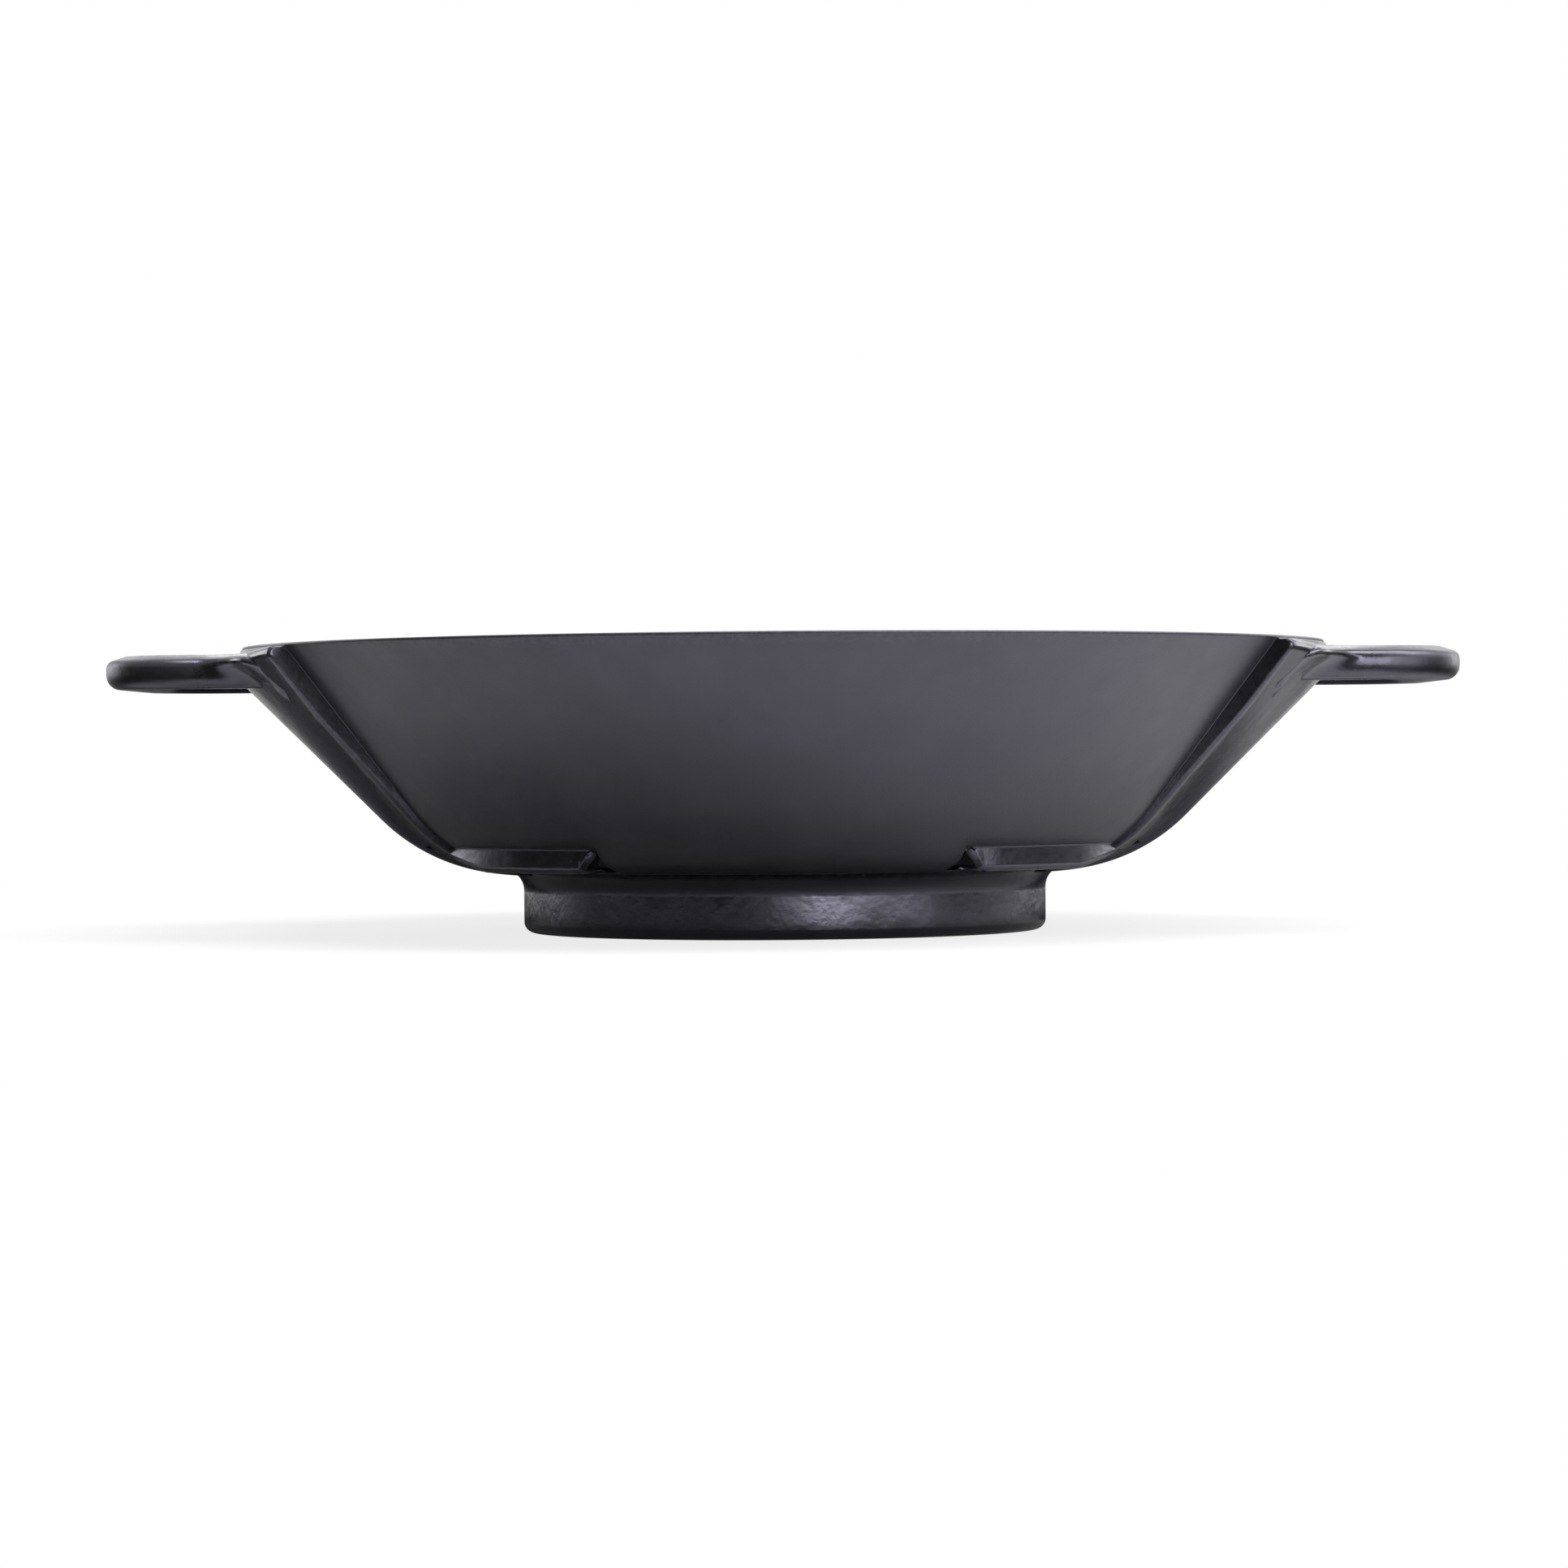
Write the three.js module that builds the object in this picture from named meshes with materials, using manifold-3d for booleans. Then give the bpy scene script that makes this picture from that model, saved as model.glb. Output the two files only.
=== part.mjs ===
// Cast iron wok: a dished bowl on a foot ring. Each side has a loop handle, a strap that carries it
// down the flank, and two base lugs beside the strap's lower end.
// Millimetres and degrees. +Z is up, the handles lie along X, the origin is the centre of the foot's lower face.
import * as THREE from "three";
import { mergeVertices, toCreasedNormals } from "three/addons/utils/BufferGeometryUtils.js";
import Module from "manifold-3d";

const wasm = await Module();
wasm.setup();

// Bowl
const RIM_DIAMETER = 360;
const HEIGHT = 95;
const WALL_THICKNESS = 4.3; // square to the flank
const RIM_EDGE = 0.8; // rounding of the rim's two edges
const FLOOR_THICKNESS = 5;
const INNER_CORNER_RADIUS = 54;
const OUTER_CORNER_RADIUS = 58;

// Foot ring
const FOOT_DIAMETER = 174;
const FOOT_HEIGHT = 21;
const FOOT_WALL = 8;
const FOOT_EDGE_RADIUS = 3.5; // outer lower edge
const FOOT_INNER_EDGE_RADIUS = 1.5;
const FOOT_FILLET = 7; // where the ring spreads into the bowl's underside
const UNDERSIDE_MARGIN = 3; // flat underside outside the ring's wall, before the bowl's corner begins

// Straps: thick bands on the flank, widest and thickest at the handles
const STRAP_LEDGE = 10.9; // how far the strap stands out from the bowl at its top
const STRAP_BASE = 1.4; // thickness under the bowl, beside the foot
const STRAP_CORNER_RADIUS = 62;
const STRAP_APEX = 25; // the two sides, drawn on in plan, meet this far from the bowl's axis
const STRAP_HALF_ANGLE = 34; // between each side and the handle's axis
const STRAP_EDGE_RADIUS = 3;

// Base lugs: flat-bottomed pads under the bowl's corner
const LUG_REACH = 31; // outer wall, beyond the bowl's flat underside
const LUG_LIFT = 0.7; // lower face above the underside
const LUG_END_ANGLE = 61.3; // from the handle's axis to the end of the lug's upper edge
const LUG_BEVEL = 30; // lean of that end towards the strap
const LUG_EDGE_RADIUS = 2.4;
const LUG_TOE = 1; // thickness where the lug runs out under the bowl
const LUG_RUNOUT = 22; // length beside the strap over which the lower face rises
const LUG_RUNOUT_RISE = 3.6;

// Loop handles
const HANDLE_REACH = 41; // from the rim to the tip
const HANDLE_WIDTH = 122;
const HANDLE_BAR = 14;
const HANDLE_THICKNESS = 11;
const HANDLE_DROP = 2.8; // upper face below the rim
const HANDLE_CORNER_RADIUS = 29;
const HANDLE_EDGE_RADIUS = 4.6; // nearly half the bar's height, so its sides are almost round
const ROOT_FILLET = 18; // outer side of each bar, where it meets the strap
const THROAT_FILLET = 8; // inner side of each bar

// Clearance between neighbouring curved faces
const SEAM = 0.3;

// Facets: round the axis, across a strap, along a corner, and along a small edge
const AROUND = 96;
const ACROSS = 16;
const ARC_STEPS = 6;
const EDGE_STEPS = 3;

const RIM_RADIUS = RIM_DIAMETER / 2;
const FOOT_RADIUS = FOOT_DIAMETER / 2;
const FLAT_RADIUS = FOOT_RADIUS + UNDERSIDE_MARGIN;
const FLOOR_Z = FOOT_HEIGHT + FLOOR_THICKNESS;
const HANDLE_TOP = HEIGHT - HANDLE_DROP;
const HANDLE_BOTTOM = HANDLE_TOP - HANDLE_THICKNESS;
const LUG_BOTTOM = FOOT_HEIGHT + LUG_LIFT;
const LUG_RADIUS = FLAT_RADIUS + LUG_REACH;
const STRAP_TOE_RADIUS = FOOT_RADIUS + FOOT_FILLET + SEAM;
const QUARTER = Math.PI / 2;
const radians = THREE.MathUtils.degToRad;

const point = (x, y) => new THREE.Vector2(x, y);

// Points on a circle in the profile plane. The angle runs from straight down towards straight out.
function arc(centre, radius, from, to, steps) {
  return Array.from({ length: steps + 1 }, (_, i) => {
    const angle = from + ((to - from) * i) / steps;
    return point(centre.x + radius * Math.sin(angle), centre.y - radius * Math.cos(angle));
  });
}

// A dished profile: a flat underside, a round corner, and a straight flank that leaves the corner
// along its tangent. An offset moves it outwards, square to itself.
class Dish {
  constructor(centre, cornerRadius, slope) {
    this.centre = centre;
    this.cornerRadius = cornerRadius;
    this.slope = slope;
  }

  // A dish whose flank ends at a top edge
  static upTo(top, flatRadius, flatZ, cornerRadius) {
    const centre = point(flatRadius, flatZ + cornerRadius);
    const toTop = top.clone().sub(centre);
    return new Dish(centre, cornerRadius, toTop.angle() + Math.asin(cornerRadius / toTop.length()));
  }

  // A dish inside this one: its flank stands a wall away, its floor and corner are its own
  within(wall, flatZ, cornerRadius) {
    const y = flatZ + cornerRadius;
    const inwards = wall + cornerRadius - this.cornerRadius - (y - this.centre.y) * Math.cos(this.slope);
    return new Dish(point(this.centre.x - inwards / Math.sin(this.slope), y), cornerRadius, this.slope);
  }

  flankAt(z, offset = 0) {
    const radius = this.cornerRadius + offset;
    const x = this.centre.x + radius * Math.sin(this.slope);
    const y = this.centre.y - radius * Math.cos(this.slope);
    return point(x + (z - y) / Math.tan(this.slope), z);
  }

  // Angle on the corner, from straight down, at a height or at a radius
  angleAtHeight(z, offset) {
    return Math.acos((this.centre.y - z) / (this.cornerRadius + offset));
  }

  angleAtRadius(x, offset) {
    return Math.asin((x - this.centre.x) / (this.cornerRadius + offset));
  }

  corner(offset, from, to, steps = ARC_STEPS) {
    return arc(this.centre, this.cornerRadius + offset, from, to, steps);
  }

  // From a radius on the corner up to a height on the flank
  outline(offset, startRadius, topZ, steps) {
    const start = this.angleAtRadius(startRadius, offset);
    return [...this.corner(offset, start, this.slope, steps), this.flankAt(topZ, offset)];
  }
}

const outside = Dish.upTo(point(RIM_RADIUS, HEIGHT), FLAT_RADIUS, FOOT_HEIGHT, OUTER_CORNER_RADIUS);
const inside = outside.within(WALL_THICKNESS, FLOOR_Z, INNER_CORNER_RADIUS);
const ledge = point(outside.flankAt(HANDLE_TOP).x + STRAP_LEDGE, HANDLE_TOP);
const strapOutside = Dish.upTo(ledge, FLAT_RADIUS, FOOT_HEIGHT - STRAP_BASE, STRAP_CORNER_RADIUS);

// A three.js geometry as a solid that can be joined and cut
function solidOf(geometry) {
  const bare = geometry.clone().deleteAttribute("normal").deleteAttribute("uv");
  const merged = mergeVertices(bare, 1e-3);
  const index = merged.index.array;
  const triVerts = [];
  for (let i = 0; i < index.length; i += 3) {
    const [a, b, c] = index.slice(i, i + 3);
    if (a !== b && b !== c && c !== a) triVerts.push(a, b, c);
  }
  return new wasm.Manifold(
    new wasm.Mesh({
      numProp: 3,
      vertProperties: merged.attributes.position.array,
      triVerts: new Uint32Array(triVerts),
    }),
  );
}

// A solid as a three.js geometry, smooth over its round faces and sharp at its edges
function geometryOf(solid) {
  const mesh = solid.getMesh();
  const geometry = new THREE.BufferGeometry();
  geometry.setAttribute("position", new THREE.BufferAttribute(new Float32Array(mesh.vertProperties), 3));
  geometry.setIndex(new THREE.BufferAttribute(new Uint32Array(mesh.triVerts), 1));
  return toCreasedNormals(geometry, radians(30));
}

// A profile turned about the Z axis. It runs up its outer side and down its inner side.
function revolve(profile) {
  return solidOf(new THREE.LatheGeometry(profile, AROUND).rotateX(QUARTER));
}

const closed = (profile) => [...profile, profile[0]];

// A closed skin through a row of rings with equal counts of points, capped at both ends
function loft(rings, section) {
  const count = section.length;
  const caps = THREE.ShapeUtils.triangulateShape(section, []);
  const last = (rings.length - 1) * count;
  const index = [];
  for (let ring = 0; ring < last; ring += count) {
    for (let i = 0; i < count; i += 1) {
      const a = ring + i;
      const b = ring + ((i + 1) % count);
      index.push(a, a + count, b, b, a + count, b + count);
    }
  }
  caps.forEach(([a, b, c]) => index.push(a, b, c, last + a, last + c, last + b));
  const geometry = new THREE.BufferGeometry().setFromPoints(rings.flat());
  geometry.setIndex(index);
  return solidOf(geometry);
}

// The dished wall and floor, with a flat rim
function bowl() {
  const rimEdge = (dish) => dish.flankAt(HEIGHT - RIM_EDGE * Math.sin(dish.slope));
  return revolve([
    point(0, FOOT_HEIGHT),
    ...outside.corner(0, 0, outside.slope),
    rimEdge(outside),
    point(RIM_RADIUS - RIM_EDGE, HEIGHT),
    point(inside.flankAt(HEIGHT).x + RIM_EDGE, HEIGHT),
    rimEdge(inside),
    ...inside.corner(0, inside.slope, 0),
    point(0, FLOOR_Z),
  ]);
}

// The ring that the wok stands on, open underneath
function footRing() {
  const inner = FOOT_RADIUS - FOOT_WALL;
  const edgeCentre = point(FOOT_RADIUS - FOOT_EDGE_RADIUS, FOOT_EDGE_RADIUS);
  const innerEdgeCentre = point(inner + FOOT_INNER_EDGE_RADIUS, FOOT_INNER_EDGE_RADIUS);
  const filletCentre = point(FOOT_RADIUS + FOOT_FILLET, FOOT_HEIGHT - FOOT_FILLET);
  return revolve(
    closed([
      ...arc(edgeCentre, FOOT_EDGE_RADIUS, 0, QUARTER, EDGE_STEPS),
      ...arc(filletCentre, FOOT_FILLET, -QUARTER, -Math.PI, EDGE_STEPS),
      point(inner, FOOT_HEIGHT),
      ...arc(innerEdgeCentre, FOOT_INNER_EDGE_RADIUS, -QUARTER, 0, EDGE_STEPS),
    ]),
  );
}

// A profile point carried to the ray that leaves the strap's apex at an angle in plan
function onRay(p, angle) {
  const across = STRAP_APEX * Math.sin(angle);
  const along = Math.sqrt(p.x ** 2 - across ** 2) - STRAP_APEX * Math.cos(angle);
  return new THREE.Vector3(STRAP_APEX + along * Math.cos(angle), along * Math.sin(angle), p.y);
}

// A band over the flank from the handle's upper face to the foot, thinning downwards, with rounded long edges
function strap() {
  const face = strapOutside.outline(0, STRAP_TOE_RADIUS, HANDLE_TOP, 2 * ARC_STEPS);
  const back = outside.outline(SEAM, STRAP_TOE_RADIUS, HANDLE_TOP, 2 * ARC_STEPS);
  const half = radians(STRAP_HALF_ANGLE);
  const edgeSpan = STRAP_EDGE_RADIUS / (face.at(-1).x - STRAP_APEX);
  const ringAt = (angle, sunk) => {
    const lowered = face.map((p, i) => {
      const thickness = p.distanceTo(back[i]);
      const limit = Math.min(STRAP_EDGE_RADIUS, thickness / 2);
      return p.clone().lerp(back[i], (limit * sunk) / thickness);
    });
    return [...lowered, ...back.slice().reverse()].map((p) => onRay(p, angle));
  };
  const edge = arc(point(0, 1), 1, 0, QUARTER, EDGE_STEPS);
  const rightEdge = edge.map((p) => ringAt(half - edgeSpan * (1 - p.x), p.y));
  const leftEdge = edge.map((p) => ringAt(-half + edgeSpan * (1 - p.x), p.y)).reverse();
  const middle = Array.from({ length: ACROSS - 1 }, (_, i) => {
    const share = (2 * (i + 1)) / ACROSS - 1;
    return ringAt(share * (half - edgeSpan), 0);
  });
  return loft([...leftEdge, ...middle, ...rightEdge], [...face, ...back.slice().reverse()]);
}

// A pad beside the strap's lower end, with a sloping end and a lower face that rises to the strap.
// Side is 1 towards +Y and -1 towards -Y.
function lug(side) {
  const edge = LUG_EDGE_RADIUS;
  const toeAngle = outside.angleAtHeight(LUG_BOTTOM + LUG_TOE, SEAM);
  const topAngle = outside.angleAtRadius(LUG_RADIUS, SEAM);
  const back = outside.corner(SEAM, topAngle, toeAngle);
  const profile = [
    point(back.at(-1).x, LUG_BOTTOM),
    ...arc(point(LUG_RADIUS - edge, LUG_BOTTOM + edge), edge, 0, QUARTER, EDGE_STEPS),
    ...back,
  ];
  const start = radians(STRAP_HALF_ANGLE);
  const end = radians(LUG_END_ANGLE);
  const startApex = STRAP_APEX - SEAM / Math.sin(start);
  const slice = new THREE.Shape([
    point(0, 0),
    point(startApex, 0),
    point(startApex + RIM_RADIUS * Math.cos(start), side * RIM_RADIUS * Math.sin(start)),
    point(RIM_RADIUS * Math.cos(end), side * RIM_RADIUS * Math.sin(end)),
  ]);
  const sliceGeometry = new THREE.ExtrudeGeometry(slice, { depth: HEIGHT, bevelEnabled: false });
  const beyondEnd = new THREE.BoxGeometry(RIM_DIAMETER, RIM_DIAMETER, RIM_DIAMETER)
    .translate(0, (side * RIM_DIAMETER) / 2, 0)
    .rotateX(-side * radians(LUG_BEVEL))
    .translate(0, 0, back[0].y)
    .rotateZ(side * end);
  const belowRunout = new THREE.BoxGeometry(RIM_DIAMETER, RIM_DIAMETER, RIM_DIAMETER)
    .translate(0, 0, -RIM_DIAMETER / 2)
    .rotateX(-side * Math.atan2(LUG_RUNOUT_RISE, LUG_RUNOUT))
    .translate(0, 0, LUG_BOTTOM + LUG_RUNOUT_RISE)
    .rotateZ(side * start)
    .translate(startApex, 0, 0);
  return revolve(closed(profile))
    .intersect(solidOf(sliceGeometry))
    .subtract(solidOf(beyondEnd))
    .subtract(solidOf(belowRunout));
}

// One side of the loop in plan, from its root in the strap to the middle of the tip
function loopSide(halfWidth, tip, corner, fillet, outward) {
  const faceRadius = strapOutside.flankAt((HANDLE_TOP + HANDLE_BOTTOM) / 2).x;
  const centreY = halfWidth + outward * fillet;
  const centreX = Math.sqrt((faceRadius + fillet) ** 2 - centreY ** 2);
  const rootAngle = Math.atan2(centreY, centreX);
  const rootRadius = faceRadius - HANDLE_THICKNESS;
  const path = new THREE.Path();
  path.moveTo(rootRadius * Math.cos(rootAngle), rootRadius * Math.sin(rootAngle));
  path.lineTo(faceRadius * Math.cos(rootAngle), faceRadius * Math.sin(rootAngle));
  path.absarc(centreX, centreY, fillet, rootAngle - Math.PI, -outward * QUARTER, outward < 0);
  path.absarc(tip - corner, halfWidth - corner, corner, QUARTER, 0, true);
  return path.getPoints(ARC_STEPS);
}

// A rounded U of round-edged bar in plan, cut to fit the strap's sloping face
function handle() {
  const edge = Math.min(HANDLE_EDGE_RADIUS, 0.45 * HANDLE_THICKNESS, 0.45 * HANDLE_BAR);
  const tip = RIM_RADIUS + HANDLE_REACH;
  const halfWidth = HANDLE_WIDTH / 2;
  const innerCorner = HANDLE_CORNER_RADIUS - HANDLE_BAR;
  const outer = loopSide(halfWidth, tip, HANDLE_CORNER_RADIUS, ROOT_FILLET, 1);
  const inner = loopSide(halfWidth - HANDLE_BAR, tip - HANDLE_BAR, innerCorner, THROAT_FILLET, -1);
  const mirrored = (points) => points.map((p) => point(p.x, -p.y));
  const loop = new THREE.Shape([
    ...mirrored(outer),
    ...outer.slice().reverse(),
    ...inner,
    ...mirrored(inner).reverse(),
  ]);
  const plate = new THREE.ExtrudeGeometry(loop, {
    depth: HANDLE_THICKNESS - 2 * edge,
    bevelThickness: edge,
    bevelSize: edge,
    bevelOffset: -edge,
    bevelSegments: EDGE_STEPS,
  }).translate(0, 0, HANDLE_BOTTOM + edge);
  const strapCone = revolve([
    point(0, FOOT_HEIGHT),
    strapOutside.flankAt(FOOT_HEIGHT, SEAM),
    strapOutside.flankAt(HEIGHT, SEAM),
    point(0, HEIGHT),
  ]);
  return solidOf(plate).subtract(strapCone);
}

const smoothIron = new THREE.MeshStandardMaterial({ color: 0x3a393d, roughness: 0.55, metalness: 0.35 });
const sandCastIron = new THREE.MeshStandardMaterial({ color: 0x2b2b2e, roughness: 0.5, metalness: 0.4 });

function named(name, solid, material) {
  const mesh = new THREE.Mesh(geometryOf(solid), material);
  mesh.name = name;
  return mesh;
}

// The handle, strap and lugs of one side, built at +X and turned into place. Front is towards -Y.
function side(name, turn, front) {
  const group = new THREE.Group();
  group.add(
    named(`${name}_handle`, handle(), sandCastIron),
    named(`${name}_strap`, strap(), sandCastIron),
    named(`${name}_front_lug`, lug(front), sandCastIron),
    named(`${name}_rear_lug`, lug(-front), sandCastIron),
  );
  group.rotation.z = turn;
  return group;
}

const wok = new THREE.Group();
wok.add(
  named("bowl", bowl(), smoothIron),
  named("foot_ring", footRing(), sandCastIron),
  side("right", 0, -1),
  side("left", Math.PI, 1),
);

export default wok;
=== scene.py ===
import math

import bmesh
import bpy
from bpy.props import FloatProperty, FloatVectorProperty, IntProperty, PointerProperty
from mathutils import Matrix, Vector


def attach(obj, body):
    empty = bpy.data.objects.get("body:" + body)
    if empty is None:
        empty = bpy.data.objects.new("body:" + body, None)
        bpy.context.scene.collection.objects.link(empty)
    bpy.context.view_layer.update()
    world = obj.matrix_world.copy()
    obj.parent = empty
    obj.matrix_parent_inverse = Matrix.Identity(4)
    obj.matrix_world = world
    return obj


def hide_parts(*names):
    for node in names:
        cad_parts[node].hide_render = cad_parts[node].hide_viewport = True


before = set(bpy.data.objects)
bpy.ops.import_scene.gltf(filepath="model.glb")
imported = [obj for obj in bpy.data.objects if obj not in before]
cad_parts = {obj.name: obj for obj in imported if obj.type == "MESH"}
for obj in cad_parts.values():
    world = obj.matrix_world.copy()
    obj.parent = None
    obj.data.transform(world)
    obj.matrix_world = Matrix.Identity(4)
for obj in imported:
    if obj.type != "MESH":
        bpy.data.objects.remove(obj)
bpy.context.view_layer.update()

bl_info = {
    "name": "Cast iron wok",
    "version": (1, 0, 0),
    "blender": (4, 5, 0),
    "location": "View3D > Sidebar > Wok",
    "description": "Builds a two-handled cast iron wok on a plain studio floor",
    "category": "Object",
}

MM = 0.001
QUARTER = math.pi / 2
ORIGIN = (0, 0, 0)
RIGHT = (1, 0, 0)
REAR = (0, 1, 0)
UP = (0, 0, 1)
SIDES = ("right", "left")

# Points closer than this are joined into one
WELD = 0.001 * MM

# How far the foot ring, the lugs and the straps' toes run into the iron behind them
SUNK = 1.5 * MM


def length(name, description, default_mm):
    """A length in metres, given in millimetres."""
    return FloatProperty(
        name=name, description=description, default=default_mm * MM, unit="LENGTH", precision=4
    )


def angle(name, description, default_degrees):
    """An angle in radians, given in degrees."""
    return FloatProperty(
        name=name, description=description, default=math.radians(default_degrees), unit="ROTATION"
    )


def colour(name, description, default):
    """A linear colour."""
    return FloatVectorProperty(
        name=name, description=description, default=default, subtype="COLOR", min=0, max=1
    )


class WokBowl(bpy.types.PropertyGroup):
    """Sizes of the dished bowl."""

    rim_diameter: length("Rim diameter", "Outer diameter of the rim", 360)
    height: length("Height", "From the floor to the rim", 95)
    wall: length("Wall", "Thickness of the flank, square to it", 4.3)
    rim_edge: length("Rim edge", "Rounding of the rim's two edges", 0.5)
    floor_thickness: length("Floor thickness", "Thickness of the flat floor", 5)
    inner_corner: length("Inner corner", "Radius between the floor and the flank inside", 54)
    outer_corner: length("Outer corner", "Radius between the underside and the flank outside", 58)


class WokFoot(bpy.types.PropertyGroup):
    """Sizes of the foot ring."""

    diameter: length("Diameter", "Outer diameter of the ring", 174)
    height: length("Height", "From the floor to the bowl's underside", 21)
    wall: length("Wall", "Thickness of the ring", 8)
    edge: length("Lower edge", "Rounding of the outer lower edge", 3.5)
    inner_edge: length("Inner edge", "Rounding of the inner lower edge", 1.5)
    fillet: length("Fillet", "Radius where the ring spreads into the underside", 7)
    inner_fillet: length("Inner fillet", "Radius between the ring and the underside inside it", 3)
    margin: length("Margin", "Flat underside outside the ring, before the bowl's corner begins", 3)


class WokStrap(bpy.types.PropertyGroup):
    """Sizes of the bands that carry the handles down the flank."""

    ledge: length("Ledge", "How far the strap stands out at its top", 10.9)
    base: length("Base", "Thickness beside the foot", 1.4)
    corner: length("Corner", "Radius of the lower corner", 62)
    apex: length("Apex", "Distance from the axis where the two sides would meet", 25)
    half_angle: angle("Half angle", "Between each side and the handle's axis", 34)
    edge: length("Edge", "Rounding of the long edges", 1.5)
    shoulder: angle("Shoulder", "How steeply the top falls away from the rim", 20)
    top_edge: length("Top edge", "Rounding of the upper edge", 2.4)
    root: length("Root", "Fillet between the strap's side and the bowl", 0.25)
    rim_fillet: length("Rim fillet", "Fillet between the strap's top and the rim", 1.7)
    climb: length("Climb", "How far the lip rises beside the handle towards the strap's sides", 2.4)


class WokLug(bpy.types.PropertyGroup):
    """Sizes of the flat-bottomed pads under the bowl's corner."""

    reach: length("Reach", "Outer wall, beyond the flat underside", 31)
    lift: length("Lift", "Lower face above the underside", 0.7)
    end_angle: angle("End angle", "From the handle's axis to the end of the upper edge", 61.3)
    bevel: angle("Bevel", "Lean of the end towards the strap", 30)
    edge: length("Edge", "Rounding of the lower edges", 2.2)
    runout: length("Run-out", "Length beside the strap over which the lower face rises", 22)
    rise: length("Rise", "How far the lower face rises there", 3.6)
    fillet: length("Fillet", "Radius where the upper edge meets the bowl", 0.8)
    draft: length("Draft", "How far the wall leans back over its height", 1.0)


class WokHandle(bpy.types.PropertyGroup):
    """Sizes of the loop handles."""

    reach: length("Reach", "From the rim to the tip", 41)
    width: length("Width", "Over the two bars", 122)
    bar: length("Bar", "Width of the bar in plan", 14)
    thickness: length("Thickness", "Height of the bar", 11)
    drop: length("Drop", "Upper face below the rim", 2.8)
    corner: length("Corner", "Outer corner radius in plan", 29)
    crown: angle("Crown", "How steeply the upper face falls away from its middle", 18)
    upper_edge: length("Upper edge", "Rounding of the upper edges", 2.8)
    lower_edge: length("Lower edge", "Rounding of the lower edges", 4.8)
    root_fillet: length("Root fillet", "Outer fillet in plan where a bar meets the strap", 18)
    throat_fillet: length("Throat fillet", "Inner fillet in plan where a bar meets the strap", 8)
    sink: length("Sink", "How far the upper face dips inside the strap", 4.0)
    under_fillet: length("Under fillet", "Fillet where the underside of a bar meets the strap", 7)


class WokFinish(bpy.types.PropertyGroup):
    """Colours of the iron."""

    smooth_dark: colour("Bowl, dark", "Darker seasoning on the bowl", (0.010, 0.0098, 0.0115))
    smooth_light: colour("Bowl, light", "Lighter seasoning on the bowl", (0.016, 0.0156, 0.018))
    cast_dark: colour(
        "Cast, dark", "Darker seasoning on handles, straps, lugs and foot", (0.0035, 0.0035, 0.004)
    )
    cast_light: colour(
        "Cast, light", "Lighter seasoning on handles, straps, lugs and foot", (0.009, 0.009, 0.010)
    )
    worn: colour("Worn edge", "Iron where edges are rubbed", (0.05, 0.05, 0.053))
    sheen: colour("Sheen", "Tint of the light that the seasoning reflects", (0.82, 0.79, 1.0))


class WokStage(bpy.types.PropertyGroup):
    """Camera and floor."""

    distance: length("Camera distance", "From the wok's axis", 1483.3)
    camera_height: length("Camera height", "Above the floor", 58.9)
    camera_turn: angle("Camera turn", "Round the wok from straight ahead", 0.6)
    pitch: angle("Camera pitch", "Downwards", 0.394)
    roll: angle("Camera roll", "Clockwise", 0.448)
    lens: FloatProperty(
        name="Lens", description="Focal length on a 36 mm sensor, in mm", default=101.89, unit="CAMERA"
    )
    floor: colour("Floor", "Colour of the floor", (0.9, 0.9, 0.9))
    # Painted shadow: a dark floor colour that only the iron's reflections see, behind the wok and beside
    # it, in place of the wok's shadow there
    painted_shadow: colour(
        "Flagged floor", "The floor behind the wok as the iron mirrors it", (0.058, 0.057, 0.07)
    )


class WokSettings(bpy.types.PropertyGroup):
    """Everything that shapes the wok and its stage."""

    bowl: PointerProperty(type=WokBowl, name="Bowl")
    foot: PointerProperty(type=WokFoot, name="Foot ring")
    strap: PointerProperty(type=WokStrap, name="Straps")
    lug: PointerProperty(type=WokLug, name="Lugs")
    handle: PointerProperty(type=WokHandle, name="Handles")
    finish: PointerProperty(type=WokFinish, name="Finish")
    stage: PointerProperty(type=WokStage, name="Stage")
    around: IntProperty(name="Around", description="Facets round the axis", default=256, min=32)


def settings():
    """The wok's sizes, finish and stage."""
    return bpy.context.scene.wok


def clamped(value, low=0, high=1):
    """A value kept between two limits."""
    return min(max(value, low), high)


# Profiles in the plane through the axis: x is the radius and y the height

def arc(centre, radius, start, end, steps):
    """Points on a circle. The angle runs from straight down towards straight out."""
    points = []
    for step in range(steps + 1):
        turn = start + (end - start) * step / steps
        points.append(Vector((centre.x + radius * math.sin(turn), centre.y - radius * math.cos(turn))))
    return points


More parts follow.
